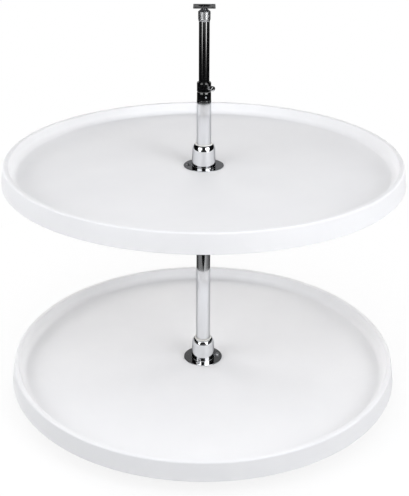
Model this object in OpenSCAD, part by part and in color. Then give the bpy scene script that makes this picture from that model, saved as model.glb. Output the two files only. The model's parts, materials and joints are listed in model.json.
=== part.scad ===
// Two-tier full-round carousel for a corner kitchen cabinet.
// Two moulded trays turn on ball bearings about one telescoping post, which
// pivots between a plate screwed to the cabinet floor and a plate screwed
// under the cabinet top. Origin: centre of the floor plate's underside, +Z up.

/* [Trays] */
// Diameter at the foot of a tray's skirt
tray_d = 711; // [560:1:820]
// Height of a tray from skirt foot to rim top
tray_h = 32.5; // [28:0.5:45]
// Inside depth from rim top to tray floor
tray_depth = 21.5; // [18:0.5:26]
// Wall thickness of the moulding
tray_wall = 3; // [2:0.25:4]
// Rise of the lower tray's skirt foot above the cabinet floor
lower_foot_z = 30; // [28:1:90]
// Height from the lower tray to the upper tray
tray_spacing = 384.3; // [300:0.1:420]
// Number of radial ribs under each tray
rib_count = 12; // [6:2:24]

/* [Post] */
// Outside diameter of the lower tube
post_d = 25.4; // [25:0.1:27]
// Wall of the lower tube
post_wall = 1.6; // [1.2:0.1:1.8]
// Outside diameter of the upper tube
mast_d = 19.05; // [18.5:0.05:19.4]
// Wall of the upper tube
mast_wall = 1.5; // [1:0.1:2]
// Height of the whole carousel as it is set
set_height = 713.2; // [690:0.1:780]
// Height of the lower tube's top end
post_top = 547.9; // [520:0.1:560]
// Height of the adjusting collar above the lower tube
collar_h = 31.9; // [28:0.1:36]

/* [Hubs] */
// Diameter of the hub flange
flange_d = 72; // [66:0.5:90]
// Height of the hub above the tray floor
hub_h = 42.7; // [41:0.1:46]
// Circle through the three hub screws
hub_pcd = 55; // [54:0.5:62]
// Plan angle of the first screw of the upper hub
upper_hub_turn = 60; // [0:1:119]
// Plan angle of the first screw of the lower hub
lower_hub_turn = 9; // [0:1:119]
// Number of balls in each thrust bearing
ball_count = 15; // [10:1:18]
// Ball diameter
ball_d = 3.175; // [3:0.005:3.3]

/* [Plates] */
// Side of the square top plate
top_plate_w = 38; // [36:0.5:50]
// Screw spacing of the top plate
top_screw_pitch = 28; // [26:0.5:36]
// Side of the square floor plate
floor_plate_w = 76; // [72:1:100]
// Screw spacing of the floor plate
floor_screw_pitch = 58; // [54:1:76]
// Plan angle of the thumb screw
thumb_turn = -43.5; // [-180:0.5:180]

/* [Hidden] */

$fn = 96;
fit = 0.075;            // radial clearance of a running fit
press = 0.05;           // radial clearance of a seated fit
bite = 0.8;             // how far a web or boss runs into the wall it grows from
cut = 1;                // how far a cutting solid stands out of what it cuts

// Levels of the two tray floors
floor_rise = tray_h - tray_depth;
lower_floor_z = lower_foot_z + floor_rise;
upper_floor_z = lower_floor_z + tray_spacing;

// Tray section
foot_r = tray_d / 2;
skirt_draft = 3.9;      // the skirt leans out by this much from rim to foot
rim_r = foot_r - skirt_draft;
lip_r = 3.4;            // outer rounding of the rim
land_w = 10;            // outer rim edge to inner rim edge
bead_r = 2.6;           // inner rounding of the rim
cove_r = 11;            // rounding between inner wall and floor
wall_lean = 14;         // the inner wall leans back by this angle
foot_edge = 0.6;
hub_hole_r = 21.2;
boss_r = 40;
boss_h = 7;
rib_t = 2.2;
rib_h = 5;
ring_rib_r = [118, 196, 274];
web_rise = 1;           // a web's foot drops by this much out to the skirt

// Post section
post_r = post_d / 2;
post_bore_r = post_r - post_wall;
mast_r = mast_d / 2;
mast_bore_r = mast_r - mast_wall;
mast_grip = 143;        // length of upper tube below the collar's lower edge
mast_foot = post_top - mast_grip;
stud_r = 5;
plug_foot_z = 10.5;
post_foot_z = 13;
collar_z = post_top;
collar_top = post_top + collar_h;
groove_z = collar_z + 14.7;
thumb_z = collar_z + 23.1;
thumb_r = 2.5;          // thumb screw's shank
thumb_bush_r = 3.5;
dimple_z = collar_z + 6.7;
dimple_turn = -73.5;
dimple_r = 1.8;
dimple_floor_r = 10.7;  // from the post's axis to the bottom of the dimple's hole

// Top pivot
plate_t = 1.6;
dish_depth = 2.2;
dish_r = 11.5;
dish_floor_r = 6.4;
cap_foot = set_height - 26.1;
cap_shoulder = set_height - 9.6;
cap_top = set_height - 4.8;
cap_r = 10.75;
cap_web = 4;            // thickness of the cap's top over the tube's end
pin_r = 4;
neck_r = 4.75;
tenon_r = 3.2;

// Fastenings
hub_screw_r = 2.45;
hub_hole_clear_r = 2.75;
hub_nut_h = 3.2;
grub_r = 2.5;
grub_z = 7;             // above the tray floor
floor_screw_r = 2.6;
top_screw_r = 2.1;

// Thrust bearing, measured up from a tray floor
race_gap = 2;
race_t = 2.4;
race_z = 12.2;
ball_z = race_z + race_t + race_gap / 2;
ball_pitch_r = 15.4;
race_bore_r = post_r + 0.35;
fixed_race_r = 17.6;
cage_bore_r = 13.15;
hub_bore_r = 18.2;
groove_r = ball_d / 2 + press;
bearing_top = race_z + 2 * race_t + race_gap;

// Hub section, measured up from a tray floor
flange_t = 1.7;
cup_foot_r = 21.3;
cup_taper = 2.3;
cup_taper_top = hub_h - 13;
cup_taper_r = cup_foot_r - (cup_taper_top - flange_t) * tan(cup_taper);
shoulder_r = 22;
shoulder_c = [cup_taper_r - shoulder_r * cos(cup_taper), cup_taper_top - shoulder_r * sin(cup_taper)];
lip_tilt = 28;
hub_lip_r = 3.6;
register_depth = 3;     // how far the hub's spigot reaches down the tray's centre hole
lip_c = shoulder_c + (shoulder_r - hub_lip_r) * [cos(lip_tilt), sin(lip_tilt)];
lip_top = lip_c[1] + hub_lip_r;
bush_seat_r = 14.4;

// ---------------------------------------------------------------- helpers

// Points of an arc about c, from angle a to angle b
function arc(c, r, a, b, n = 8) =
    [for (i = [0 : n]) let (t = a + (b - a) * i / n) [c[0] + r * cos(t), c[1] + r * sin(t)]];

module ring(r_out, r_in, h) {
    difference() {
        cylinder(r = r_out, h = h);
        translate([0, 0, -cut]) cylinder(r = r_in, h = h + 2 * cut);
    }
}

module on_circle(count, r, turn = 0) {
    for (i = [0 : count - 1]) rotate([0, 0, turn + 360 * i / count]) translate([r, 0, 0]) children();
}

module at_corners(pitch) {
    for (x = [-1, 1], y = [-1, 1]) translate([x * pitch / 2, y * pitch / 2, 0]) children();
}

// Lies along +X, starting at x = 0
module lying(a = 0) { rotate([0, 0, a]) rotate([0, 90, 0]) children(); }

// A square with rounded corners, drawn as one outline
module rounded_square(w, r) {
    polygon(concat(
        arc([w / 2 - r, w / 2 - r], r, 0, 90), arc([r - w / 2, w / 2 - r], r, 90, 180),
        arc([r - w / 2, r - w / 2], r, 180, 270), arc([w / 2 - r, r - w / 2], r, 270, 360)));
}

// ------------------------------------------------------------------ trays

// Where the inner wall's straight part meets the bead above and the cove below
bead_c = [rim_r - land_w + bead_r, tray_h - bead_r];
wall_top = bead_c + bead_r * [-cos(wall_lean), sin(wall_lean)];
cove_dy = cove_r * (1 - sin(wall_lean));
wall_foot_z = floor_rise + cove_dy;
wall_foot_r = wall_top[0] - (wall_top[1] - wall_foot_z) * tan(wall_lean);
cove_c = [wall_foot_r - cove_r * cos(wall_lean), floor_rise + cove_r];
skirt_tilt = atan(skirt_draft / (tray_h - lip_r));

// The same corners for the underside of the wall
under_bead_r = 1;
under_bead_c = bead_c + [0.6, -1.4];
under_lip_r = 1.2;
under_wall_top = under_bead_c + under_bead_r * [-cos(wall_lean), sin(wall_lean)];
under_cove_r = cove_r + tray_wall;
under_wall_foot_z = cove_c[1] - under_cove_r * sin(wall_lean);
under_wall_foot_r = cove_c[0] + under_cove_r * cos(wall_lean);
under_lip_c = [rim_r - tray_wall - under_lip_r, tray_h - tray_wall - under_lip_r];

function tray_upper_line() = concat(
    [[hub_hole_r, floor_rise]],
    arc(cove_c, cove_r, 270, 360 - wall_lean, 10),
    arc(bead_c, bead_r, 180 - wall_lean, 90, 6),
    arc([rim_r - lip_r, tray_h - lip_r], lip_r, 90, skirt_tilt, 8),
    [[foot_r, foot_edge], [foot_r - foot_edge, 0]]);

function tray_lower_line() = concat(
    [[foot_r - tray_wall + 0.4, 0]],
    arc(under_lip_c, under_lip_r, skirt_tilt, 90, 4),
    arc(under_bead_c, under_bead_r, 90, 180 - wall_lean, 3),
    arc(cove_c, under_cove_r, 360 - wall_lean, 270, 8),
    [[hub_hole_r, floor_rise - tray_wall]]);

// Web under the floor that also braces the hollow rim from inside
module rib_web() {
    rib_foot = floor_rise - tray_wall - rib_h;
    under_top = tray_h - tray_wall;
    corner = 1.6;       // cut corner under the rim's outer rounding
    rotate([90, 0, 0]) translate([0, 0, -rib_t / 2]) linear_extrude(rib_t)
        polygon([
            [boss_r - bite, rib_foot], [wall_foot_r, rib_foot], [foot_r - tray_wall + bite, rib_foot - web_rise],
            [rim_r - tray_wall + bite, under_top - corner - bite], [rim_r - tray_wall - corner, under_top + bite],
            [under_bead_c[0], under_top + bite], [under_wall_top[0] - bite, under_wall_top[1]],
            [under_wall_foot_r - bite, under_wall_foot_z],
            cove_c + (under_cove_r - bite) * [cos(45), -sin(45)],
            [cove_c[0], floor_rise - tray_wall + bite], [boss_r - bite, floor_rise - tray_wall + bite]]);
}

module tray(floor_z, turn) {
    color([0.95, 0.95, 0.96]) translate([0, 0, floor_z - floor_rise]) difference() {
        union() {
            rotate_extrude($fn = 180) polygon(concat(tray_upper_line(), tray_lower_line()));
            translate([0, 0, floor_rise - boss_h]) ring(boss_r, hub_hole_r, boss_h - bite);
            for (r = ring_rib_r) translate([0, 0, floor_rise - tray_wall - rib_h])
                ring(r + rib_t / 2, r - rib_t / 2, rib_h + bite, $fn = 120);
            for (i = [0 : rib_count - 1]) rotate([0, 0, turn + 360 * (i + 0.5) / rib_count]) rib_web();
        }
        on_circle(3, hub_pcd / 2, turn) cylinder(r = hub_hole_clear_r, h = tray_h, $fn = 32);
    }
}

// ------------------------------------------------------------------- hubs

// Outside of the chromed hub: flange, tapered cup, rounded shoulder, rolled lip
module hub_section() {
    register_r = hub_hole_r - 0.1;
    flange_r = flange_d / 2;
    edge = 0.3;         // broken lower edge of the flange
    round = 0.6;        // rounded upper edge of the flange
    fillet = 1;
    polygon(concat(
        [[hub_bore_r, -register_depth], [register_r, -register_depth], [register_r, 0], [flange_r - edge, 0],
         [flange_r, edge]],
        arc([flange_r - round, flange_t - round], round, 0, 90, 3),
        arc([cup_foot_r + fillet, flange_t + fillet], fillet, 270, 180, 4),
        arc(shoulder_c, shoulder_r, cup_taper, lip_tilt, 10),
        arc(lip_c, hub_lip_r, lip_tilt, 90, 8),
        [[bush_seat_r, lip_top], [bush_seat_r, bearing_top], [hub_bore_r, bearing_top]]));
}

module hub(floor_z, turn) {
    color([0.82, 0.83, 0.85]) translate([0, 0, floor_z]) difference() {
        rotate_extrude() hub_section();
        on_circle(3, hub_pcd / 2, turn) translate([0, 0, -cut])
            cylinder(r = hub_hole_clear_r, h = flange_t + 2 * cut, $fn = 32);
    }
}

// White bush that guides the hub on the post, with a collar on top of the hub
module hub_bush(floor_z) {
    body_r = bush_seat_r - press;
    head_r = 15.6;
    edge = 0.6;
    color([0.93, 0.93, 0.92]) translate([0, 0, floor_z]) rotate_extrude()
        polygon(concat(
            [[post_r + fit, bearing_top], [body_r, bearing_top], [body_r, lip_top], [head_r - edge / 2, lip_top],
             [head_r, lip_top + edge / 2]],
            arc([head_r - edge, hub_h - edge], edge, 0, 90, 3),
            [[post_r + fit + edge, hub_h], [post_r + fit, hub_h - edge]]));
}

// Pan head with a cross recess, on a shank that ends below the nut
module hub_screws(floor_z, turn) {
    past_nut = 0.6;
    shank = flange_t + boss_h + hub_nut_h + past_nut;
    head_r = 3.9;
    head_h = 2.3;
    head_round = 0.8;
    slot_w = 0.7;
    slot_l = 3.4;
    slot_depth = 1.4;
    color([0.8, 0.8, 0.82]) translate([0, 0, floor_z + flange_t]) on_circle(3, hub_pcd / 2, turn)
        difference() {
            union() {
                rotate_extrude($fn = 48) polygon(concat(
                    [[0, 0]], arc([head_r - head_round, 0.9], head_round, -60, 55, 4),
                    [[1.6, head_h - 0.1], [0, head_h]]));
                translate([0, 0, -shank]) cylinder(r = hub_screw_r, h = shank + bite, $fn = 32);
            }
            for (a = [0, 90]) rotate([0, 0, a]) translate([-slot_l / 2, -slot_w / 2, head_h - slot_depth])
                cube([slot_l, slot_w, slot_depth + cut]);
        }
}

module hub_nuts(floor_z, turn) {
    corner_r = 4.6;
    color([0.7, 0.71, 0.73]) translate([0, 0, floor_z - boss_h - hub_nut_h]) on_circle(3, hub_pcd / 2, turn)
        difference() {
            rotate([0, 0, 30]) cylinder(r = corner_r, h = hub_nut_h, $fn = 6);
            translate([0, 0, -cut]) cylinder(r = hub_screw_r + press, h = hub_nut_h + 2 * cut, $fn = 32);
        }
}

// --------------------------------------------- bearing on a collar, per tray

// Steel collar that carries the tray, held to the post by a grub screw
module support_collar(floor_z) {
    outer_r = 17.2;
    foot = 1.6;
    edge = 0.6;
    color([0.55, 0.56, 0.58]) translate([0, 0, floor_z]) difference() {
        rotate_extrude() polygon([
            [post_r, foot], [outer_r - edge, foot], [outer_r, foot + edge], [outer_r, race_z - edge],
            [outer_r - edge, race_z], [post_r, race_z]]);
        translate([0, 0, grub_z]) lying(90) cylinder(r = grub_r, h = outer_r + cut, $fn = 32);
    }
}

module collar_screw(floor_z) {
    length = 4.4;
    socket_r = 1.45;
    socket_depth = 2;
    color([0.2, 0.2, 0.21]) translate([0, 0, floor_z + grub_z]) lying(90) translate([0, 0, post_r])
        difference() {
            cylinder(r = grub_r, h = length, $fn = 32);
            translate([0, 0, length - socket_depth]) cylinder(r = socket_r, h = socket_depth + cut, $fn = 6);
        }
}

// Thrust race with a rounded groove that the balls roll in
module race(floor_z, z, r_out, r_in) {
    color([0.72, 0.73, 0.75]) translate([0, 0, floor_z]) difference() {
        translate([0, 0, z]) ring(r_out, r_in, race_t);
        translate([0, 0, ball_z]) rotate_extrude() translate([ball_pitch_r, 0]) circle(r = groove_r, $fn = 48);
    }
}

module fixed_race(floor_z) { race(floor_z, race_z, fixed_race_r, post_r); }

module turning_race(floor_z) {
    race(floor_z, race_z + race_t + race_gap, hub_bore_r - press, race_bore_r);
}

module ball_cage(floor_z) {
    cage_t = 1.2;
    pocket_r = ball_d / 2 + 0.06;
    color([0.72, 0.6, 0.35]) translate([0, 0, floor_z + ball_z - cage_t / 2]) difference() {
        ring(fixed_race_r, cage_bore_r, cage_t);
        on_circle(ball_count, ball_pitch_r) translate([0, 0, -cut])
            cylinder(r = pocket_r, h = cage_t + 2 * cut, $fn = 32);
    }
}

module balls(floor_z) {
    color([0.8, 0.81, 0.83]) translate([0, 0, floor_z + ball_z])
        on_circle(ball_count, ball_pitch_r) sphere(r = ball_d / 2, $fn = 24);
}

// --------------------------------------------------------- floor and post

// Levels of the floor plate and of the stud riveted through its raised centre
floor_plate_t = 2.5;
raised_z = 7.5;
pressing_z = 5;
rivet_r = 3.6;
stud_collar_top = raised_z + 1.5;
stud_top = 28;
plug_bore_top = stud_top + 1.5;

// Pressed plate with a raised centre that holds the stud
module floor_plate() {
    corner_r = 9;
    color([0.6, 0.61, 0.63]) difference() {
        union() {
            linear_extrude(floor_plate_t) rounded_square(floor_plate_w, corner_r);
            rotate_extrude() polygon([
                [0, cut], [21, cut], [21, floor_plate_t], [15.5, raised_z], [0, raised_z]]);
        }
        rotate_extrude() polygon([[0, -cut], [18.4, -cut], [18.4, 0], [13.2, pressing_z], [0, pressing_z]]);
        translate([0, 0, pressing_z - cut]) cylinder(r = rivet_r, h = raised_z - pressing_z + 2 * cut, $fn = 48);
        at_corners(floor_screw_pitch) translate([0, 0, -cut])
            cylinder(r = floor_screw_r, h = floor_plate_t + 2 * cut, $fn = 48);
    }
}

// Pivot stud riveted through the plate
module floor_stud() {
    tail_r = 5.2;
    collar_r = 9;
    tail_foot = pressing_z - 1.8;
    tail_edge = 0.8;
    nose = 1.4;
    color([0.7, 0.71, 0.73]) rotate_extrude()
        polygon([
            [0, tail_foot], [tail_r - tail_edge, tail_foot], [tail_r, tail_foot + tail_edge], [tail_r, pressing_z],
            [rivet_r - press, pressing_z], [rivet_r - press, raised_z], [collar_r, raised_z],
            [collar_r, stud_collar_top], [stud_r, stud_collar_top], [stud_r, stud_top - 2],
            [stud_r - nose, stud_top], [0, stud_top]]);
}

module floor_washer() {
    washer_r = 11;
    color([0.9, 0.9, 0.86]) translate([0, 0, stud_collar_top])
        ring(washer_r, stud_r + fit, plug_foot_z - stud_collar_top);
}

// Nylon plug pressed into the foot of the post; its blind bore turns on the stud
module foot_plug() {
    edge = 0.6;
    plug_top = 46;
    taper = 2;
    body_r = post_bore_r - press;
    color([0.12, 0.12, 0.13]) difference() {
        rotate_extrude() polygon([
            [0, plug_foot_z], [post_r - edge, plug_foot_z], [post_r, plug_foot_z + edge], [post_r, post_foot_z],
            [body_r, post_foot_z], [body_r, plug_top - taper], [body_r - taper / 2, plug_top], [0, plug_top]]);
        translate([0, 0, plug_foot_z - cut]) cylinder(r = stud_r + fit, h = plug_bore_top - plug_foot_z + cut);
    }
}

module lower_tube() {
    color([0.82, 0.83, 0.85]) translate([0, 0, post_foot_z]) ring(post_r, post_bore_r, post_top - post_foot_z);
}

// --------------------------------------------------- telescoping adjuster

// Black collar plugged into the top of the post; the upper tube slides through it
module adjusting_collar() {
    top_bevel = 1.5;
    bore_edge = 0.5;
    groove_w = 1.2;
    groove_depth = 0.9;
    spigot_l = 32;
    spigot_r = post_bore_r - press;
    foot_round = 1.1;
    color([0.08, 0.08, 0.09]) difference() {
        rotate_extrude() polygon(concat(
            [[mast_r + fit, collar_z - spigot_l], [spigot_r, collar_z - spigot_l], [spigot_r, collar_z]],
            arc([post_r - foot_round, collar_z + foot_round], foot_round, 270, 360, 3),
            [[post_r, groove_z - groove_w], [post_r - groove_depth, groove_z], [post_r, groove_z + groove_w],
             [post_r, collar_top - top_bevel], [post_r - top_bevel, collar_top],
             [mast_r + fit + bore_edge, collar_top], [mast_r + fit, collar_top - bore_edge]]));
        translate([0, 0, thumb_z]) lying(thumb_turn) cylinder(r = thumb_bush_r, h = post_r + cut, $fn = 48);
        translate([0, 0, dimple_z]) lying(dimple_turn) translate([0, 0, dimple_floor_r])
            cylinder(r = dimple_r, h = post_r, $fn = 32);
    }
}

// Spring pin that shows as a dimple, fixing the collar's sleeve
module collar_pin() {
    length = 1.5;
    color([0.6, 0.61, 0.63]) translate([0, 0, dimple_z]) lying(dimple_turn) translate([0, 0, dimple_floor_r])
        cylinder(r = dimple_r - press, h = length, $fn = 32);
}

// Chromed threaded bush in the collar's side
module screw_bush() {
    length = 6;
    rim_r = thumb_bush_r + 0.4;
    rim_t = 2.4;
    color([0.82, 0.83, 0.85]) translate([0, 0, thumb_z]) lying(thumb_turn) translate([0, 0, mast_r + 0.6])
        difference() {
            union() {
                cylinder(r = thumb_bush_r, h = length, $fn = 48);
                translate([0, 0, length - rim_t]) cylinder(r = rim_r, h = rim_t, $fn = 48);
            }
            translate([0, 0, -cut]) cylinder(r = thumb_r + fit, h = length + 2 * cut, $fn = 48);
        }
}

// Knurled head on a shank whose tip bears on the upper tube
module thumb_screw() {
    tip = mast_r + 0.2;
    tip_edge = 0.8;
    head_r = 4.5;
    head_z = 17;
    head_h = 5.6;
    head_foot_edge = 0.6;
    head_top_edge = 0.9;
    crown = 0.3;
    flutes = 14;
    flute_r = 0.6;
    flute_out = 0.35;   // flute centres stand this far outside the head
    plain_end = 1.2;    // the flutes stop short of the head's outer face
    color([0.82, 0.83, 0.85]) translate([0, 0, thumb_z]) lying(thumb_turn) difference() {
        rotate_extrude($fn = 64) polygon([
            [0, tip], [thumb_r - tip_edge, tip], [thumb_r, tip + tip_edge], [thumb_r, head_z],
            [head_r - head_foot_edge, head_z], [head_r, head_z + head_foot_edge],
            [head_r, head_z + head_h - head_top_edge], [head_r - head_top_edge, head_z + head_h],
            [0, head_z + head_h + crown]]);
        on_circle(flutes, head_r + flute_out) translate([0, 0, head_z - cut])
            cylinder(r = flute_r, h = head_h - plain_end + cut, $fn = 16);
    }
}

// Black tube that carries the top pivot
module upper_tube() {
    color([0.05, 0.05, 0.055]) translate([0, 0, mast_foot])
        ring(mast_r, mast_bore_r, cap_shoulder - cap_web - mast_foot);
}

// Nylon ring pressed into the upper tube's foot, which steadies it in the post
module tube_guide() {
    spigot_l = 14;
    land_top = mast_foot - 0.8;
    land_foot = mast_foot - 6;
    foot = mast_foot - 7;
    bore_r = 6;
    spigot_r = mast_bore_r - press;
    land_r = post_bore_r - fit;
    color([0.85, 0.85, 0.82]) rotate_extrude() polygon([
        [spigot_r, mast_foot + spigot_l], [spigot_r, mast_foot], [mast_r, mast_foot], [mast_r, land_top],
        [land_r, land_top], [land_r, land_foot], [land_r - (land_foot - foot), foot], [bore_r, foot],
        [bore_r, mast_foot + spigot_l]]);
}

// ------------------------------------------------------------- top pivot

// Chromed cap on the upper tube's end, with a cone up to the pin
module top_cap() {
    skirt_t = 0.4;
    flare_h = 3.6;
    edge = 0.4;
    color([0.82, 0.83, 0.85]) rotate_extrude() polygon([
        [mast_r + press, cap_foot], [mast_r + skirt_t, cap_foot], [cap_r, cap_foot + flare_h],
        [cap_r, cap_shoulder - edge], [cap_r - edge, cap_shoulder], [neck_r + edge / 2, cap_top],
        [pin_r + press, cap_top], [pin_r + press, cap_shoulder - cap_web],
        [mast_r + press, cap_shoulder - cap_web]]);
}

// Steel pivot pin: shank in the cap, neck under the plate, tenon with a domed hollow head
module top_pin() {
    dish_z = set_height - dish_depth;
    foot = cap_foot + 6;
    edge = 0.6;
    head_r = 4.3;
    head_h = 2;
    hollow_r = 1.5;
    neck_top = dish_z - plate_t - press;
    head_z = dish_z + press;
    color([0.62, 0.63, 0.65]) difference() {
        rotate_extrude($fn = 64) polygon(concat(
            [[0, foot], [pin_r - edge, foot], [pin_r, foot + edge], [pin_r, cap_top], [neck_r, cap_top],
             [neck_r, neck_top], [tenon_r, neck_top], [tenon_r, head_z], [head_r, head_z]],
            [for (a = [11.25 : 11.25 : 90]) [head_r * cos(a), head_z + head_h * sin(a)]]));
        translate([0, 0, dish_z - cut]) cylinder(r = hollow_r, h = head_h + 3 * cut, $fn = 48);
    }
}

// Square plate with a dished centre, so that the pin's head stays below its face
module top_plate() {
    corner_r = 1.6;
    side = 0.5;         // the dish's outside stands this much wider than its inside
    dish_z = set_height - dish_depth;
    color([0.32, 0.33, 0.34]) difference() {
        union() {
            translate([0, 0, set_height - plate_t]) linear_extrude(plate_t) rounded_square(top_plate_w, corner_r);
            rotate_extrude() polygon([
                [0, set_height], [0, dish_z - plate_t], [dish_floor_r + side, dish_z - plate_t],
                [dish_r + side, set_height - plate_t], [dish_r + side, set_height]]);
        }
        rotate_extrude() polygon([
            [0, dish_z], [dish_floor_r, dish_z], [dish_r, set_height], [dish_r, set_height + cut],
            [0, set_height + cut]]);
        translate([0, 0, dish_z - plate_t - cut]) cylinder(r = tenon_r + fit, h = plate_t + 2 * cut, $fn = 64);
        at_corners(top_screw_pitch) translate([0, 0, set_height - plate_t - cut])
            cylinder(r = top_screw_r, h = plate_t + 2 * cut, $fn = 48);
    }
}

// ------------------------------------------------------------------ nodes

floor_plate();
floor_stud();
floor_washer();
foot_plug();
lower_tube();
support_collar(lower_floor_z);  // lower_support_collar
collar_screw(lower_floor_z);  // lower_collar_screw
fixed_race(lower_floor_z);  // lower_fixed_race
ball_cage(lower_floor_z);  // lower_ball_cage
balls(lower_floor_z);  // lower_balls
turning_race(lower_floor_z);  // lower_turning_race
tray(lower_floor_z, lower_hub_turn);  // lower_tray
hub(lower_floor_z, lower_hub_turn);  // lower_hub
hub_bush(lower_floor_z);  // lower_hub_bush
hub_screws(lower_floor_z, lower_hub_turn);  // lower_hub_screws
hub_nuts(lower_floor_z, lower_hub_turn);  // lower_hub_nuts
support_collar(upper_floor_z);  // upper_support_collar
collar_screw(upper_floor_z);  // upper_collar_screw
fixed_race(upper_floor_z);  // upper_fixed_race
ball_cage(upper_floor_z);  // upper_ball_cage
balls(upper_floor_z);  // upper_balls
turning_race(upper_floor_z);  // upper_turning_race
tray(upper_floor_z, upper_hub_turn);  // upper_tray
hub(upper_floor_z, upper_hub_turn);  // upper_hub
hub_bush(upper_floor_z);  // upper_hub_bush
hub_screws(upper_floor_z, upper_hub_turn);  // upper_hub_screws
hub_nuts(upper_floor_z, upper_hub_turn);  // upper_hub_nuts
adjusting_collar();
collar_pin();
screw_bush();
thumb_screw();
upper_tube();
tube_guide();
top_cap();
top_pin();
top_plate();
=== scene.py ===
"""Looks of a two-tier corner carousel: moulded white trays on chromed hubs, round a telescoping post."""
import json
import math

import bmesh
import bpy
import numpy as np
from mathutils import Matrix, Vector


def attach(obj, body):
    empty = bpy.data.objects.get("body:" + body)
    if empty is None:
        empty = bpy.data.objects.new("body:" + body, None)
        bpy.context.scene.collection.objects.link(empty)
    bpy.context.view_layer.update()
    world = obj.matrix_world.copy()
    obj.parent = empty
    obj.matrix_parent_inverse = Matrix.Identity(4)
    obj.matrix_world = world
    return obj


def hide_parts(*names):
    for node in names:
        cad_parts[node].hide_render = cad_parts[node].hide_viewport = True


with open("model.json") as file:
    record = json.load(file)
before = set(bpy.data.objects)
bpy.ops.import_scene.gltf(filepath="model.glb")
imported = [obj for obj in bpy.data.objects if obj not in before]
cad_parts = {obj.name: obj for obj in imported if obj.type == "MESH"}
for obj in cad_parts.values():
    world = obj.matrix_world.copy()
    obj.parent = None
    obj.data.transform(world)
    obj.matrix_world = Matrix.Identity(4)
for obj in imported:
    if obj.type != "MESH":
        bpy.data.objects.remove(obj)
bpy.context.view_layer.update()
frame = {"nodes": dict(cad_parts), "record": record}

MM = 0.001

# The fitting's heights above the cabinet's floor, and its radii from the post's axis, in mm
LOWER_FLOOR, UPPER_FLOOR = 41.0, 425.3
SET_HEIGHT = 713.2
POST_FOOT, POST_TOP = 13.0, 547.9
POST_R, POST_BORE_R = 12.7, 11.1
MAST_FOOT, MAST_TOP = 404.9, 699.6
MAST_R, MAST_BORE_R = 9.525, 8.025

# ------------------------------------------------------------------ camera

# The focal length is in the photograph's pixels, the angles are in degrees, and the place is in mm.
LONG_SIDE, SENSOR = 496.0, 36.0
FOCAL_PX, PITCH, ROLL = 961.1, 16.877, 0.24
CAMERA_BACK, CAMERA_UP = 1621.9, 995.2
SHIFT_X, SHIFT_Y = 0.0012, -0.25
NEAR, FAR = 0.05, 60.0

scene = bpy.context.scene
camera = bpy.data.objects.new("camera", bpy.data.cameras.new("camera"))
scene.collection.objects.link(camera)
bpy.context.scene.camera = camera
camera.data.sensor_width = SENSOR
camera.data.lens = FOCAL_PX / LONG_SIDE * SENSOR
camera.data.shift_x = SHIFT_X
camera.data.shift_y = SHIFT_Y
camera.data.clip_start = NEAR
camera.data.clip_end = FAR
camera.matrix_world = (
    Matrix.Translation((0.0, -CAMERA_BACK * MM, CAMERA_UP * MM))
    @ Matrix.Rotation(math.radians(90 - PITCH), 4, "X")
    @ Matrix.Rotation(math.radians(ROLL), 4, "Z")
)

# --------------------------------------------------------------- materials

WHITE, BLACK = "#FFFFFF", "#000000"
NOISE_DETAIL = 3.0
NOISE_LOW, NOISE_HIGH = 0.3, 0.7


def linear(code):
    """An sRGB hex colour as the linear RGBA that a shader socket takes."""
    c = np.array([int(code[i : i + 2], 16) for i in (1, 3, 5)]) / 255
    c = np.where(c <= 0.04045, c / 12.92, ((c + 0.055) / 1.055) ** 2.4)
    return (*c, 1.0)


def add(tree, kind, settings=None, **inputs):
    """Adds one node with its settings. Its inputs are named, or numbered as in i0, and each is a value, or
    a link given as (node, output)."""
    made = tree.nodes.new(kind)
    for key, value in (settings or {}).items():
        setattr(made, key, value)
    for key, value in inputs.items():
        numbered = key[0] == "i" and key[1:].isdigit()
        socket = made.inputs[int(key[1:]) if numbered else key.replace("_", " ")]
        if isinstance(value, tuple) and isinstance(value[0], bpy.types.Node):
            tree.links.new(value[0].outputs[value[1]], socket)
        else:
            socket.default_value = value
    return made


def surface(name, tones=None, gloss=None, grain=None, **shader):
    """A finish as a material with one Principled shader. Each pattern is a fractal noise in the object's
    own coordinates, with the size of its features in mm and how far each axis is drawn out: tones (size,
    drawn, first hex, last hex) run the colour, gloss (size, drawn, low, high) runs the roughness, and grain
    (size, drawn, strength, depth in mm) raises the face."""
    made = bpy.data.materials.new(name)
    made.use_nodes = True
    tree = made.node_tree
    tree.nodes.clear()
    principled = add(tree, "ShaderNodeBsdfPrincipled", **shader)
    add(tree, "ShaderNodeOutputMaterial", Surface=(principled, "BSDF"))
    for socket, rule in ("Base Color", tones), ("Roughness", gloss), ("Normal", grain):
        if rule is None:
            continue
        size, drawn, first, last = rule
        spot = add(tree, "ShaderNodeTexCoord")
        place = add(tree, "ShaderNodeVectorMath", {"operation": "DIVIDE"}, i0=(spot, "Object"), i1=drawn)
        noise = add(tree, "ShaderNodeTexNoise", Vector=(place, 0), Scale=1 / (size * MM), Detail=NOISE_DETAIL)
        if socket == "Base Color":
            mixed = add(tree, "ShaderNodeMix", {"data_type": "RGBA"}, i0=(noise, "Fac"),
                        i6=linear(first), i7=linear(last))
            result = mixed.outputs[2]
        elif socket == "Roughness":
            result = add(tree, "ShaderNodeMapRange", Value=(noise, "Fac"),
                         i1=NOISE_LOW, i2=NOISE_HIGH, i3=first, i4=last).outputs[0]
        else:
            result = add(tree, "ShaderNodeBump", Strength=first, Distance=last * MM,
                         Height=(noise, "Fac")).outputs[0]
        tree.links.new(result, principled.inputs[socket])
    return made


EVEN = (1, 1, 1)

# High-impact polystyrene, injection moulded in a finely blasted tool: a white that is never quite even,
# with a soft satin sheen. The tool's grain of about 0.1 mm is drawn at 0.9 mm, so that it shows close up.
white_polystyrene = surface(
    "white_polystyrene_moulded",
    tones=(90, EVEN, "#EAEAEB", "#F0F0F0"),
    grain=(0.9, EVEN, 0.12, 0.05),
    Roughness=0.58, IOR=1.59, Specular_IOR_Level=0.3)

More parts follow.
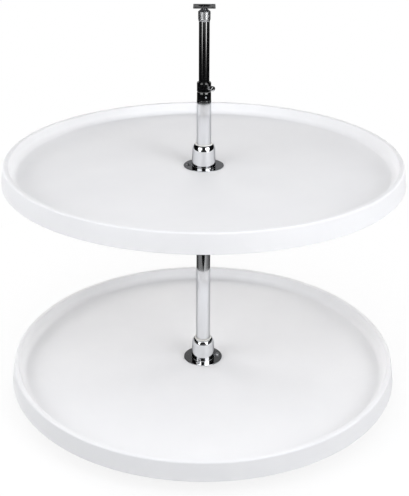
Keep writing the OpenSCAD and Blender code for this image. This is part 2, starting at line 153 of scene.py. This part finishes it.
# Bright chromium over nickel on steel, electroplated: a mirror with a slight waviness, about 7 mm across,
# from the polishing. Its edges darken a little where it is seen along its face, as chromium's do.
chrome = surface(
    "chrome_plated",
    grain=(7, EVEN, 0.1, 0.02),
    Metallic=1.0, Roughness=0.06, Base_Color=linear("#E6E7E9"), Specular_Tint=linear("#8E8F93"))

# Chromium over a die casting that was only blasted: the same metal with a satin face, in which lamps spread
# into soft bands. The blasting's pits of about 0.1 mm are drawn at 0.5 mm, so that they show close up.
satin_chrome = surface(
    "chrome_satin_plated",
    gloss=(3, EVEN, 0.35, 0.41),
    grain=(0.5, EVEN, 0.05, 0.02),
    Metallic=1.0, Base_Color=linear("#E0E1E3"))

# Black stoving enamel, sprayed and baked: deep black with a wet gloss and a faint orange peel, 3 mm across.
black_enamel = surface(
    "black_enamel_baked",
    grain=(3, EVEN, 0.05, 0.01),
    Base_Color=linear("#0B0B0C"), Roughness=0.06, IOR=1.7, Coat_Weight=1.0, Coat_IOR=1.7, Coat_Roughness=0.03)

# Nylon 6, injection moulded: a warm, slightly waxy white that clouds where the melt was thick. The tool's
# marks of about 0.2 mm are drawn at 0.6 mm.
white_nylon = surface(
    "white_nylon_moulded",
    tones=(6, EVEN, "#E4E3DD", "#ECEBE7"),
    grain=(0.6, EVEN, 0.1, 0.03),
    Roughness=0.38, IOR=1.53,
    Subsurface_Weight=0.12, Subsurface_Radius=(1.0, 0.9, 0.8), Subsurface_Scale=1.5 * MM)

# Nylon 6 with black pigment, injection moulded: dull dark grey, paler in the drag marks that the tool left
# along the part. Its fine marks are drawn at 0.6 mm, as the white nylon's are.
black_nylon = surface(
    "black_nylon_moulded",
    tones=(1.5, (1, 1, 8), "#161618", "#242427"),
    grain=(0.6, EVEN, 0.2, 0.03),
    Roughness=0.5, IOR=1.53)

# Steel, bright zinc plated and passivated: cold grey, clouded by the blue passivate, with a dull crystal
# grain of about 0.3 mm that is drawn at 0.9 mm.
zinc_steel = surface(
    "steel_zinc_plated",
    tones=(9, EVEN, "#A9ADB3", "#BDC0C2"),
    gloss=(3, EVEN, 0.28, 0.42),
    grain=(0.9, EVEN, 0.12, 0.02),
    Metallic=1.0)

# Steel, ground and lightly oiled: rings left by the wheel. They are about 0.05 mm apart and drawn at 0.8
# mm.
bearing_steel = surface(
    "steel_ground",
    tones=(9, EVEN, "#BABCC0", "#C4C6C8"),
    gloss=(0.8, (30, 30, 1), 0.15, 0.27),
    grain=(0.8, (30, 30, 1), 0.1, 0.02),
    Metallic=1.0)

# Steel with a black oxide, tumbled: almost black, browner and duller where the oil has dried, with the
# small dents of the tumbling.
black_oxide = surface(
    "steel_black_oxide",
    tones=(2, EVEN, "#262628", "#34322F"),
    gloss=(1.2, EVEN, 0.32, 0.5),
    grain=(0.5, EVEN, 0.1, 0.02),
    Metallic=1.0)

# Brass strip, stamped and tarnishing: warm yellow with brown clouds and the lines of the rolling mill,
# which are about 0.1 mm wide and drawn at 0.7 mm.
brass = surface(
    "brass_stamped",
    tones=(5, EVEN, "#B8934F", "#D8B972"),
    gloss=(0.7, (12, 1, 1), 0.24, 0.38),
    grain=(0.7, (12, 1, 1), 0.08, 0.01),
    Metallic=1.0)

# Steel strip, rolled and dark plated: grey, darker in patches, with long rolling lines drawn as wide as the
# brass's.
dark_steel = surface(
    "steel_dark_plated",
    tones=(7, EVEN, "#626367", "#77787A"),
    gloss=(0.7, (14, 1, 1), 0.22, 0.34),
    grain=(0.7, (14, 1, 1), 0.06, 0.01),
    Metallic=1.0)

FINISH = {
    "white_polymer": white_polystyrene,
    "chrome": chrome,
    "white_nylon": white_nylon,
    "zinc_steel": zinc_steel,
    "black_oxide": black_oxide,
    "bearing_steel": bearing_steel,
    "brass": brass,
    "black_nylon": black_nylon,
    "black_enamel": black_enamel,
    "dark_steel": dark_steel,
}

# --------------------------------------------------------------- surfaces

# Lengths are in mm from here to the studio. A profile's rows are [r, z, corner radius].
SAME_POINT, STRAIGHT = 1e-5, 1e-6
MERGE_M = 1e-7
HOLD_GAP, HOLD_FROM = 0.35, 6


def arc(centre, radius, start, end, steps=12):
    """Points at the centre plus the radius times (cos, sin) of angles spread evenly from start to end, in
    degrees."""
    turn = np.radians(np.linspace(start, end, steps + 1))
    return np.asarray(centre) + radius * np.stack([np.cos(turn), np.sin(turn)], 1)


def softened(corners, steps=8):
    """Rounds each corner [r, z, radius] of a closed outline. The arc's centre lies on the corner's
    bisector, at the radius over the sine of half the corner's angle, and the arc runs between the feet of
    its two perpendiculars."""
    corners = np.asarray(corners, float)
    place, radius = corners[:, :2], corners[:, 2]
    back = np.roll(place, 1, 0) - place
    ahead = np.roll(place, -1, 0) - place
    back /= np.linalg.norm(back, axis=1)[:, None]
    ahead /= np.linalg.norm(ahead, axis=1)[:, None]
    half = np.arccos(np.clip((back * ahead).sum(1), -1, 1)) / 2
    bisector = back + ahead
    bisector /= np.linalg.norm(bisector, axis=1)[:, None]
    centre = place + bisector * (radius / np.sin(half))[:, None]
    first = place + back * (radius / np.tan(half))[:, None] - centre
    last = place + ahead * (radius / np.tan(half))[:, None] - centre
    share = np.linspace(0, 1, steps + 1)[None, :, None]
    sweep = (math.pi - 2 * half)[:, None, None]
    safe = np.where(sweep < STRAIGHT, 1, np.sin(sweep))
    turned = np.sin((1 - share) * sweep) * first[:, None] + np.sin(share * sweep) * last[:, None]
    line = (centre[:, None] + turned / safe).reshape(-1, 2)
    apart = np.linalg.norm(line - np.roll(line, 1, 0), axis=1) > SAME_POINT
    return line[apart]


def held(line):
    """Adds a point close inside each end of every long straight, so that shading stays flat along it."""
    along = np.roll(line, -1, 0) - line
    length = np.linalg.norm(along, axis=1)
    step = along / np.maximum(length, SAME_POINT)[:, None] * HOLD_GAP
    rows = np.stack([line, line + step, line + along - step], 1)
    long = length > HOLD_FROM * HOLD_GAP
    return rows[np.stack([np.ones(len(line), bool), long, long], 1)]


def lathe(line, steps, bulge=None):
    """Carries a closed line [r, z] round the post: turn t puts each of its points at (r cos t, r sin t, z).
    bulge(t, r, z) may change r. Faces join neighbours along the line and round the post."""
    line = np.asarray(line, float)
    area = np.sum(line[:, 0] * np.roll(line[:, 1], -1) - np.roll(line[:, 0], -1) * line[:, 1])
    if area < 0:
        line = line[::-1]
    line = held(line)
    count = len(line)
    turn = np.linspace(0, 2 * math.pi, steps, endpoint=False)[:, None]
    radius = np.broadcast_to(line[:, 0], (steps, count))
    height = np.broadcast_to(line[:, 1], (steps, count))
    if bulge is not None:
        radius = bulge(turn, radius, height)
    points = np.stack([radius * np.cos(turn), radius * np.sin(turn), height], -1).reshape(-1, 3)
    i, j = np.meshgrid(np.arange(steps), np.arange(count), indexing="ij")
    row, next_row = i * count, (i + 1) % steps * count
    above = (j + 1) % count
    return points, np.stack([row + j, next_row + j, next_row + above, row + above], -1).reshape(-1, 4)


def piece(name, body, slot, replaced, parts, finish=None, crease=32):
    """Joins parts, each (points, faces), into one mesh in metres, closes its poles and shades it smooth up
    to the crease angle; it rides on the body and stands for the replaced nodes. Its finish is its slot's,
    or its own."""
    points, faces, start = [], [], 0
    for part_points, part_faces in parts:
        points.append(part_points)
        if isinstance(part_faces, np.ndarray):
            faces += (part_faces + start).tolist()
        else:
            faces += [[k + start for k in face] for face in part_faces]
        start += len(part_points)
    mesh = bpy.data.meshes.new(name)
    mesh.from_pydata(np.concatenate(points) * MM, [], faces)
    shell = bmesh.new()
    shell.from_mesh(mesh)
    bmesh.ops.remove_doubles(shell, verts=shell.verts, dist=MERGE_M)
    shell.to_mesh(mesh)
    shell.free()
    mesh.polygons.foreach_set("use_smooth", np.ones(len(mesh.polygons), bool))
    mesh.set_sharp_from_angle(angle=math.radians(crease))
    mesh.materials.append(finish or FINISH[slot])
    made = bpy.data.objects.new(name, mesh)
    scene.collection.objects.link(made)
    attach(made, body)
    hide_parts(*replaced)


def lifted(part, height):
    """The same part, moved up by a height."""
    points, faces = part
    return points + [0, 0, height], faces


# ------------------------------------------------------------------- trays

# Heights are measured from the tray's floor.
HUB_HOLE_R = 21.2
BOSS_R, BOSS_FOOT, BOSS_TOP = 40, -7, -1
FOOT_R, SKIRT_FOOT, SKIRT_T = 355.38, -11, 2.5
RIM_TOP, WALL_T = 21.5, 3
RIB_COUNT, RIB_T = 12, 2.2
RIB_FOOT, RIB_TOP = -8, -2
RING_RIBS = (118, 196, 274)


def tray_section():
    """Closed section of the moulding, outwards along its floor, over the rim, and back along its
    underside."""
    return softened([
        (HUB_HOLE_R, 0, 0),
        (336.81, 0, 11),  # cove
        (342.17, RIM_TOP, 2.6),  # bead of the leaning wall
        (351.17, RIM_TOP, 3.4),  # lip
        (FOOT_R, SKIRT_FOOT, 0.5),
        (FOOT_R - SKIRT_T, SKIRT_FOOT, 0.5),
        (348.43, RIM_TOP - WALL_T, 1.2),
        (343.98, RIM_TOP - WALL_T, 1.0),
        (339.67, -WALL_T, 14),  # under the cove
        (HUB_HOLE_R, -WALL_T, 0)], 12)


def rib_webs(turn):
    """Radial webs: one outline [r, z] in the plane of the post's axis, given its thickness and turned round
    the post. The outline runs out along the ribs' feet, up inside the skirt and back inside the wall and
    the floor."""
    outline = np.array([
        (39, RIB_FOOT), (338.9, RIB_FOOT), (353.4, -9), (349.2, 16), (347.1, 19.1), (344.8, 19.1),
        (343, 17.7), (341, 7.6), (335.5, -0.4), (328.2, RIB_TOP), (39, RIB_TOP)])
    count = len(outline)
    side = np.repeat([-RIB_T / 2, RIB_T / 2], count)
    flat = np.tile(outline, (2, 1))
    spin = np.radians(turn + 360 * (np.arange(RIB_COUNT) + 0.5) / RIB_COUNT)[:, None]
    points = np.stack([
        flat[:, 0] * np.cos(spin) - side * np.sin(spin),
        flat[:, 0] * np.sin(spin) + side * np.cos(spin),
        np.broadcast_to(flat[:, 1], (RIB_COUNT, 2 * count))], -1).reshape(-1, 3)
    ring = np.arange(count)
    edges = [[k + count, (k + 1) % count + count, (k + 1) % count, k] for k in ring]
    web = [ring[::-1].tolist(), (ring + count).tolist()] + edges
    return points, [[k + 2 * count * n for k in face] for n in range(RIB_COUNT) for face in web]


def tray(which, floor, turn):
    """A tray: its revolved moulding, the boss round the hub hole, ring ribs and radial webs. Boss and ribs
    are sunk a little into the floor."""
    boss = [
        (HUB_HOLE_R, BOSS_FOOT, 0.3), (BOSS_R, BOSS_FOOT, 0.8),
        (BOSS_R, BOSS_TOP, 0), (HUB_HOLE_R, BOSS_TOP, 0)]
    parts = [lathe(tray_section(), steps=360), lathe(softened(boss), steps=180)]
    for r in RING_RIBS:
        near, far = r - RIB_T / 2, r + RIB_T / 2
        rib = [(near, RIB_FOOT, 0.5), (far, RIB_FOOT, 0.5), (far, RIB_TOP, 0), (near, RIB_TOP, 0)]
        parts.append(lathe(softened(rib), steps=240))
    parts.append(rib_webs(turn))
    piece(which + "_tray_moulding", which + "_tray_unit", "white_polymer", [which + "_tray"],
          [lifted(part, floor) for part in parts])


tray("upper", UPPER_FLOOR, turn=60)
tray("lower", LOWER_FLOOR, turn=9)

# -------------------------------------------------------------------- hubs

# Heights are measured from the tray's floor. The shoulder's long arc leans from the taper to the tilt, in
# degrees from level, and the rolled lip goes on from there.
SPIGOT_R, BEARING_R, BEARING_TOP = 21.1, 18.2, 19
BUSH_R, BUSH_BORE_R, BUSH_RIM_R, BUSH_PLAY = 14.4, 12.78, 15.5, 0.05
LIP_TOP, BUSH_SEAT, BUSH_TOP = 41.055, 41.06, 42.7
FLANGE_R, FLANGE_T = 36.0, 1.7
SHOULDER, SHOULDER_R = np.array([-1.807, 28.817]), 22.0
TAPER, TILT, LIP_R = 2.3, 28.0, 3.6


def hub(which, floor):
    """Chromed hub: flange, small fillet, tapered cup, long shoulder arc and rolled lip, hollow for the
    bearing; and the white bush seated in its top."""
    lean = math.radians(TILT)
    lip = SHOULDER + (SHOULDER_R - LIP_R) * np.array([math.cos(lean), math.sin(lean)])
    cup = np.concatenate([
        [(BEARING_R, -WALL_T), (SPIGOT_R, -WALL_T), (SPIGOT_R, 0)],
        arc((FLANGE_R - 0.3, 0.3), 0.3, 270, 360, 3),
        arc((FLANGE_R - 0.6, FLANGE_T - 0.6), 0.6, 0, 90, 6),
        arc((22.3, FLANGE_T + 1.0), 1.0, 270, 180, 8),  # fillet at the cup's foot
        arc(SHOULDER, SHOULDER_R, TAPER, TILT, 24),
        arc(lip, LIP_R, TILT, 90, 20)[1:],
        [(BUSH_R, LIP_TOP), (BUSH_R, BEARING_TOP), (BEARING_R, BEARING_TOP)]])
    piece(which + "_hub_cup", which + "_tray_unit", "chrome", [which + "_hub"],
          [lifted(lathe(cup, steps=256), floor)])
    bush = softened([
        (BUSH_BORE_R, BEARING_TOP, 0),
        (BUSH_R - BUSH_PLAY, BEARING_TOP, 0),
        (BUSH_R - BUSH_PLAY, BUSH_SEAT, 0),
        (BUSH_RIM_R, BUSH_SEAT, 0.3),
        (BUSH_RIM_R, BUSH_TOP, 0.7),
        (BUSH_BORE_R, BUSH_TOP, 0.5)], 6)
    piece(which + "_hub_bush_ring", which + "_tray_unit", "white_nylon", [which + "_hub_bush"],
          [lifted(lathe(bush, steps=192), floor)])


hub("upper", UPPER_FLOOR)
hub("lower", LOWER_FLOOR)

# -------------------------------------------------------------------- post

lower_tube = softened([
    (POST_BORE_R, POST_FOOT, 0.3),
    (POST_R, POST_FOOT, 0.4),
    (POST_R, POST_TOP, 0.1),
    (POST_BORE_R, POST_TOP, 0.1)])
piece("lower_tube_plated", "post", "chrome", ["lower_tube"], [lathe(lower_tube, steps=256)])

upper_tube = softened([
    (MAST_BORE_R, MAST_FOOT, 0.3),
    (MAST_R, MAST_FOOT, 0.4),
    (MAST_R, MAST_TOP, 0.3),
    (MAST_BORE_R, MAST_TOP, 0.3)])
piece("upper_tube_enamelled", "mast", "black_enamel", ["upper_tube"], [lathe(upper_tube, steps=256)])

COLLAR_FOOT, COLLAR_TOP = POST_TOP - 32, POST_TOP + 31.9
COLLAR_BORE_R, SPIGOT_IN_TUBE_R = 9.6, 11.05
DIMPLE_Z, DIMPLE_TURN = POST_TOP + 6.7, -73.5
DIMPLE_R, DIMPLE_EDGE, DIMPLE_DEPTH = 1.85, 0.25, 0.7
DIMPLE_ROWS, DIMPLE_REACH = 41, 2.2
SKIN_T = 0.02


def collar_dimple(turn, radius, height):
    """Sinks the collar's skin by the dimple's depth within its radius, measured along the skin, over a
    short straight edge."""
    around = (np.mod(turn - math.radians(DIMPLE_TURN) + math.pi, 2 * math.pi) - math.pi) * POST_R
    away = np.hypot(around, height - DIMPLE_Z)
    sink = DIMPLE_DEPTH * np.clip((DIMPLE_R - away) / DIMPLE_EDGE, 0, 1)
    return np.where(radius > POST_R - SKIN_T, radius - sink, radius)


def adjusting_collar():
    """The collar's line up from its spigot in the tube, with close rows of points along the skin where the
    dimple is sunk, between the foot's bevel and the groove."""
    line = softened([
        (COLLAR_BORE_R, COLLAR_FOOT, 0.3),
        (SPIGOT_IN_TUBE_R, COLLAR_FOOT, 0.3),
        (SPIGOT_IN_TUBE_R, POST_TOP, 0),
        (POST_R - 0.25, POST_TOP, 0),
        (POST_R, POST_TOP + 0.25, 0.1),
        (POST_R, POST_TOP + 12.4, 0.15),  # groove
        (POST_R - 0.75, POST_TOP + 14.8, 0.2),
        (POST_R, POST_TOP + 15.9, 0.15),
        (POST_R, COLLAR_TOP - 1.8, 0.35),  # top bevel
        (POST_R - 0.9, COLLAR_TOP, 0.35),
        (COLLAR_BORE_R, COLLAR_TOP, 0.4)])
    heights = np.linspace(DIMPLE_Z - DIMPLE_REACH, DIMPLE_Z + DIMPLE_REACH, DIMPLE_ROWS)
    on_skin = np.abs(line[:, 0] - POST_R) < STRAIGHT
    cut = int(np.argmax(on_skin & (line[:, 1] > DIMPLE_Z + DIMPLE_REACH)))
    rows = np.stack([np.full(DIMPLE_ROWS, POST_R), heights], 1)
    return lathe(np.concatenate([line[:cut], rows, line[cut:]]), steps=480, bulge=collar_dimple)


piece("adjusting_collar_enamelled", "post", "black_enamel", ["adjusting_collar"], [adjusting_collar()])

# The thumb screw's lengths are measured from the post's axis.
THUMB_Z, THUMB_TURN = POST_TOP + 23.1, -43.5
TIP, TIP_R, SHANK_R = 9.73, 1.7, 2.5
HEAD_FOOT, HEAD_END, HEAD_R = 17, 22.9, 4.5
FLUTES, FLUTE_DEPTH = 14, 0.42
FLUTE_ROWS, FLUTE_FROM, FLUTE_TO, FLUTE_END, FLUTE_FADE = 9, 17.8, 21.5, 22.2, 0.8


def fluted(turn, radius, along):
    """The head's radius dips by a narrow cosine, squared, at each flute, and the flutes fade out at its
    end."""
    dip = FLUTE_DEPTH * np.clip(np.cos(turn * FLUTES), 0, 1) ** 2
    fade = np.clip((FLUTE_END - along) / FLUTE_FADE, 0, 1)
    return np.where((radius > HEAD_R - 1.0) & (along > HEAD_FOOT - 0.1), radius - dip * fade, radius)


def thumb_screw():
    """Shank and fluted head turned about Z, then laid on the collar's side."""
    line = softened([
        (0, TIP, 0), (TIP_R, TIP, 0.2), (SHANK_R, 10.6, 0.2), (SHANK_R, HEAD_FOOT, 0.2),
        (HEAD_R, HEAD_FOOT, 0.6), (HEAD_R, HEAD_END - 0.3, 0.9), (0.6, HEAD_END, 0.3), (0, HEAD_END, 0)], 8)
    rows = np.stack([np.full(FLUTE_ROWS, HEAD_R), np.linspace(FLUTE_FROM, FLUTE_TO, FLUTE_ROWS)], 1)
    cut = int(np.argmax(line[:, 1] > FLUTE_TO + 0.1))
    points, faces = lathe(np.concatenate([line[:cut], rows, line[cut:]]), steps=336, bulge=fluted)
    laid = Matrix.Rotation(math.radians(THUMB_TURN), 3, "Z") @ Matrix.Rotation(math.radians(90), 3, "Y")
    return points @ np.array(laid).T + [0, 0, THUMB_Z], faces


piece("thumb_screw_plated", "lock_screw", "chrome", ["thumb_screw"], [thumb_screw()])

# --------------------------------------------------------------- top pivot

CAP_FOOT, CAP_SHOULDER, CAP_TOP = SET_HEIGHT - 26.1, SET_HEIGHT - 9.6, SET_HEIGHT - 4.8
CAP_R, CAP_BORE_R, PIN_BORE_R = 10.75, 9.58, 4.05

top_cap = softened([
    (CAP_BORE_R, CAP_FOOT, 0.1),
    (9.95, CAP_FOOT, 0.15),
    (CAP_R, CAP_FOOT + 3.6, 1.5),
    (CAP_R, CAP_SHOULDER, 0.7),
    (4.95, CAP_TOP, 0.3),
    (PIN_BORE_R, CAP_TOP, 0),
    (PIN_BORE_R, MAST_TOP, 0),
    (CAP_BORE_R, MAST_TOP, 0)])
piece("top_cap_plated", "mast", "chrome", ["top_cap"], [lathe(top_cap, steps=192)], satin_chrome)

# ----------------------------------------------- the solids that stay in view

slots = {part["node"]: part["material_slot"] for part in frame["record"]["subparts"]}
for node, solid in frame["nodes"].items():
    solid.material_slots[0].material = satin_chrome if node == "screw_bush" else FINISH[slots[node]]

# ------------------------------------------------------------------ studio

# Lengths are in metres from here on.
scene.view_settings.view_transform = "Standard"


def seen(tree):
    """1 for the rays that should meet white: from the camera, a mirror or glass; 0 for the light on the
    object."""
    path = add(tree, "ShaderNodeLightPath")
    larger = {"operation": "MAXIMUM"}
    first = add(tree, "ShaderNodeMath", larger, i0=(path, "Is Camera Ray"), i1=(path, "Is Glossy Ray"))
    return add(tree, "ShaderNodeMath", larger, i0=(first, 0), i1=(path, "Is Transmission Ray"))


world = bpy.data.worlds.new("studio_white")
scene.world = world
world.use_nodes = True
tree = world.node_tree
tree.nodes.clear()
unlit = add(tree, "ShaderNodeBackground", Color=linear(BLACK), Strength=0.0)
white = add(tree, "ShaderNodeBackground", Color=linear(WHITE), Strength=1.0)
both = add(tree, "ShaderNodeMixShader", i0=(seen(tree), 0), i1=(unlit, 0), i2=(white, 0))
add(tree, "ShaderNodeOutputWorld", Surface=(both, 0))


def set_piece(name, points, faces, material):
    """A mesh of the studio, not of the object."""
    mesh = bpy.data.meshes.new(name)
    mesh.from_pydata(points, [], faces)
    mesh.materials.append(material)
    made = bpy.data.objects.new(name, mesh)
    scene.collection.objects.link(made)
    return made


# Paper floor: pale grey to the light that bounces off it, white to the eye, with a faint soft shadow close
# to the object.
FLOOR_HALF, SHADE_SHARE, SHADE_FROM, SHADE_TO = 12.0, 0.14, 0.4, 0.9
floor_paper = surface("studio_floor_paper", Roughness=1.0, Specular_IOR_Level=0.0)
tree = floor_paper.node_tree
shader = tree.nodes["Principled BSDF"]
looked_at = seen(tree)
paper = add(tree, "ShaderNodeMix", {"data_type": "RGBA"}, i0=(looked_at, 0),
            i6=linear("#BEBEBE"), i7=linear(WHITE))
tree.links.new(paper.outputs[2], shader.inputs["Base Color"])
spot = add(tree, "ShaderNodeTexCoord")
away = add(tree, "ShaderNodeVectorMath", {"operation": "LENGTH"}, i0=(spot, "Object"))
white_share = add(tree, "ShaderNodeMapRange", {"interpolation_type": "SMOOTHSTEP"}, Value=(away, "Value"),
                  i1=SHADE_FROM, i2=SHADE_TO, i3=1 - SHADE_SHARE, i4=1.0)
share = add(tree, "ShaderNodeMath", {"operation": "MULTIPLY"}, i0=(looked_at, 0), i1=(white_share, 0))
glow = add(tree, "ShaderNodeEmission", Color=linear(WHITE), Strength=1.0)
mixed = add(tree, "ShaderNodeMixShader", i0=(share, 0), i1=(shader, "BSDF"), i2=(glow, 0))
tree.links.new(mixed.outputs[0], tree.nodes["Material Output"].inputs["Surface"])
corners = np.array([(-1, -1, 0), (1, -1, 0), (1, 1, 0), (-1, 1, 0)]) * FLOOR_HALF
set_piece("studio_floor", corners, [(0, 1, 2, 3)], floor_paper)

# Studio cloth that glows: its brightness is painted light, standing for the spill that falls on it, and is as
# strong as the attribute of its surface says.
CLOTH_STEPS = 72
studio_cloth_painted_glow = bpy.data.materials.new("studio_cloth_painted_glow")
studio_cloth_painted_glow.use_nodes = True
tree = studio_cloth_painted_glow.node_tree
tree.nodes.clear()
grey = add(tree, "ShaderNodeAttribute", {"attribute_name": "grey"})
cloth = add(tree, "ShaderNodeEmission", Color=linear(WHITE), Strength=(grey, "Fac"))
add(tree, "ShaderNodeOutputMaterial", Surface=(cloth, 0))


def flag(name, line, first, last, share=((0, 1), (1, 1)), centre=0):
    """A cloth that only mirrors and gloss see. Each row of its line is [distance, height, grey, spread]; its
    greys are the strength of its glow, painted light.
    The line is carried round the post between two azimuths, which its spread narrows, either side of a
    centre that is measured from the camera's side. Its greys are multiplied by a share, which runs straight
    between rows of [azimuth, share]."""
    line = np.asarray(line, float)
    count = len(line)
    azimuth = np.linspace(first, last, CLOTH_STEPS + 1)[:, None]
    turn = np.radians(centre + azimuth * line[:, 3])
    height = np.broadcast_to(line[:, 1], turn.shape)
    points = np.stack([line[:, 0] * np.sin(turn), -line[:, 0] * np.cos(turn), height], -1)
    i, j = np.meshgrid(np.arange(CLOTH_STEPS), np.arange(count - 1), indexing="ij")
    a = i * count + j
    faces = np.stack([a, a + count, a + count + 1, a + 1], -1).reshape(-1, 4)
    made = set_piece(name, points.reshape(-1, 3), faces, studio_cloth_painted_glow)
    grey = line[:, 2] * np.interp(azimuth, *np.transpose(share))
    made.data.attributes.new("grey", "FLOAT", "POINT").data.foreach_set("value", grey.ravel())
    made.visible_camera = made.visible_diffuse = made.visible_transmission = made.visible_shadow = False


# Backdrop all round, whose glow gets darker upwards: painted shade
flag("studio_backdrop", [
    (6.0, 0.0, 0.5, 1),
    (6.0, 0.9, 0.46, 1),
    (6.0, 1.7, 0.38, 1),
    (6.0, 2.54, 0.27, 1),
    (6.0, 3.57, 0.11, 1),
    (5.4, 4.6, 0.05, 1),
    (3.0, 6.0, 0.03, 1),
    (0.01, 6.4, 0.03, 1)], -180, 180)

# Grey cloth on the floor round the object, which gets black further out and stands up as a black wall with
# one grey strip low in it. Its glow is painted light, brighter towards the two softboxes, most on the right,
# and dim behind the post.
FRONT_SHARE = (
    (-150, 0.2), (-105, 0.35), (-65, 1.1), (-20, 1.0), (10, 2.4),
    (35, 2.1), (60, 1.3), (100, 0.55), (150, 0.2))
flag("studio_cloth_front", [
    (0.42, 0.002, 0.2, 1),
    (0.8, 0.002, 0.2, 1),
    (1.2, 0.002, 0.02, 1),
    (2.3, 0.002, 0.01, 1),
    (2.4, 0.14, 0.01, 1),
    (2.4, 0.26, 0.16, 1),
    (2.4, 0.5, 0.01, 1),
    (2.4, 2.8, 0.01, 1),
    (1.2, 3.6, 0.01, 1)], -150, 150, FRONT_SHARE)

# Black gap on the floor towards the camera, painted shade for the dark round the camera, which narrows to a
# point at the object
GAP_Z, GAP_GREY = 0.004, 0.005
flag("studio_cloth_camera", [
    (0.46, GAP_Z, GAP_GREY, 0.05),
    (0.5, GAP_Z, GAP_GREY, 0.45),
    (0.54, GAP_Z, GAP_GREY, 0.8),
    (0.58, GAP_Z, GAP_GREY, 1),
    (2.2, GAP_Z, GAP_GREY, 1)], -30, 30)

# The faces of the two softboxes, as mirrors and gloss see them: oval, with a hot middle and a bright narrow
# foot. Rows are [height, grey, spread].
GLARE_AWAY, GLARE_HALF, GLARE_INNER = 1.85, 15, 12
GLARE_ROWS = (
    (0.12, 0.1, 0.3), (0.18, 0.9, 0.4), (0.22, 2.2, 0.45), (0.26, 5.5, 0.45), (0.34, 9.0, 0.5),
    (0.42, 3.0, 0.6), (0.9, 1.6, 1.5), (1.2, 3.0, 1.7), (1.45, 3.5, 1.7), (1.7, 1.8, 1.6),
    (2.1, 1.8, 1.4), (2.6, 1.2, 0.9), (2.9, 0.6, 0.3))
for name, centre, glare in (("studio_glare_right", 42, 1.0), ("studio_glare_left", -42, 0.65)):
    edges = ((-GLARE_HALF, 0), (-GLARE_INNER, glare), (GLARE_INNER, glare), (GLARE_HALF, 0))
    flag(name, [(GLARE_AWAY, *row) for row in GLARE_ROWS], -GLARE_HALF, GLARE_HALF, edges, centre)

COOL, WARM = "#FBFCFF", "#FFFDFC"

# Azimuth in degrees from the camera's side; distance from the post, heights of foot and top, and width in
# metres; power in watts
LAMPS = (
    ("softbox_right", 42, 1.9, 0.12, 2.8, 1.05, 26.0),
    ("softbox_left", -44, 1.9, 0.12, 2.8, 1.05, 14.6),
    ("fill_right", 72, 1.9, 0.3, 1.7, 1.2, 10.4),
    ("fill_left", -72, 1.9, 0.3, 1.7, 1.2, 13.5),
    ("low_right", 130, 1.9, 0.2, 1.2, 1.4, 13.5),
    ("low_left", -130, 1.9, 0.2, 1.2, 1.4, 19.4),
    ("fill_back", 180, 1.9, 1.1, 2.5, 1.4, 18.1),
)
OVERHEAD = ("overhead", 0, 1.2, 1.3, 3.3, 2.0, 24.5)
STRAIGHT_DOWN = (1, 0, 0, 0)


def softbox(name, azimuth, away, foot, top, width, power):
    """An upright lamp that faces the post: cool in front of it and warm behind it. Mirrors and gloss see
    the studio's cloths in its place."""
    lamp = bpy.data.lights.new(name, "AREA")
    lamp.shape = "ELLIPSE"
    lamp.size = width
    lamp.size_y = top - foot
    lamp.energy = power
    lamp.color = linear(COOL if abs(azimuth) < 90 else WARM)[:3]
    made = bpy.data.objects.new(name, lamp)
    scene.collection.objects.link(made)
    out = Vector((math.sin(math.radians(azimuth)), -math.cos(math.radians(azimuth)), 0))
    made.location = out * away + Vector((0, 0, (foot + top) / 2))
    made.rotation_mode = "QUATERNION"
    made.rotation_quaternion = out.to_track_quat("Z", "Y")
    made.visible_camera = made.visible_glossy = False
    return made


for lamp in LAMPS:
    softbox(*lamp)
softbox(*OVERHEAD).rotation_quaternion = STRAIGHT_DOWN
